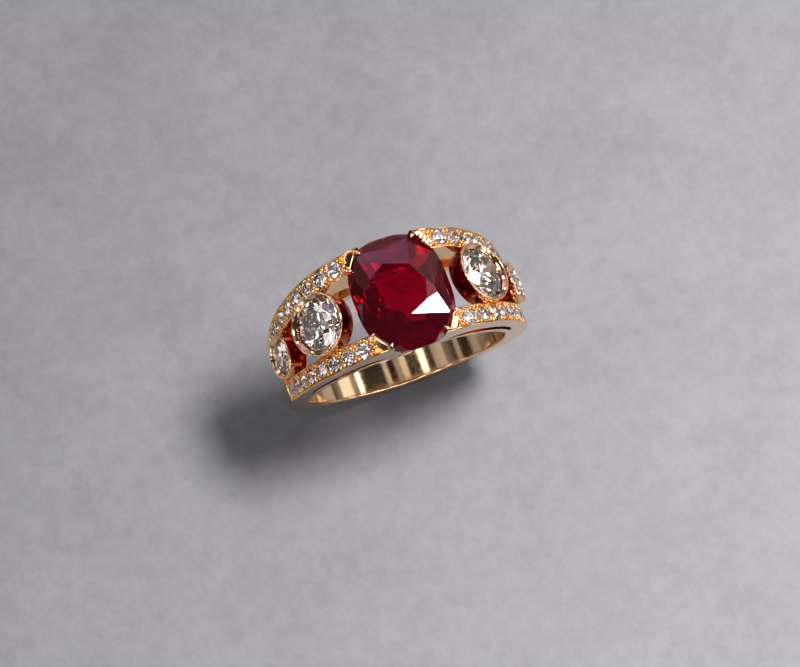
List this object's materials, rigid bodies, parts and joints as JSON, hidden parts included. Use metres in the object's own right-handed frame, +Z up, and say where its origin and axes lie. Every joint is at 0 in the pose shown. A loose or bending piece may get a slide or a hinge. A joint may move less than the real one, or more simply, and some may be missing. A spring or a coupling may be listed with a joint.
{
  "type": "cocktail ring",
  "caption": "Open-shouldered cocktail ring: a cushion ruby gripped by pave-set diamond arms between bezel-set diamonds, on a polished tapering shank.",
  "frame": {"origin": "centre of the finger hole, halfway between the front and back faces", "axes": "+Y along the finger hole, +Z up through the ruby, +X across the shoulders"},
  "size_m": [0.0216, 0.0096, 0.0223],
  "materials": {
    "gold": "polished",
    "ruby": "polished",
    "diamond": "polished"
  },
  "bodies": {
    "root": {"shank": "gold", "front_finger_band": "gold", "back_finger_band": "gold", "front_left_arm": "gold", "front_right_arm": "gold", "back_left_arm": "gold", "back_right_arm": "gold", "ruby": "ruby", "left_large_bezel": "gold", "right_large_bezel": "gold", "left_small_bezel": "gold", "right_small_bezel": "gold", "left_large_diamond": "diamond", "right_large_diamond": "diamond", "left_small_diamond": "diamond", "right_small_diamond": "diamond", "front_left_pave_1": "diamond", "front_left_pave_2": "diamond", "front_left_pave_3": "diamond", "front_left_pave_4": "diamond", "front_left_pave_5": "diamond", "front_left_pave_6": "diamond", "front_left_pave_7": "diamond", "front_left_pave_8": "diamond", "front_right_pave_1": "diamond", "front_right_pave_2": "diamond", "front_right_pave_3": "diamond", "front_right_pave_4": "diamond", "front_right_pave_5": "diamond", "front_right_pave_6": "diamond", "front_right_pave_7": "diamond", "front_right_pave_8": "diamond", "back_left_pave_1": "diamond", "back_left_pave_2": "diamond", "back_left_pave_3": "diamond", "back_left_pave_4": "diamond", "back_left_pave_5": "diamond", "back_left_pave_6": "diamond", "back_left_pave_7": "diamond", "back_left_pave_8": "diamond", "back_right_pave_1": "diamond", "back_right_pave_2": "diamond", "back_right_pave_3": "diamond", "back_right_pave_4": "diamond", "back_right_pave_5": "diamond", "back_right_pave_6": "diamond", "back_right_pave_7": "diamond", "back_right_pave_8": "diamond"}
  },
  "joints": []
}
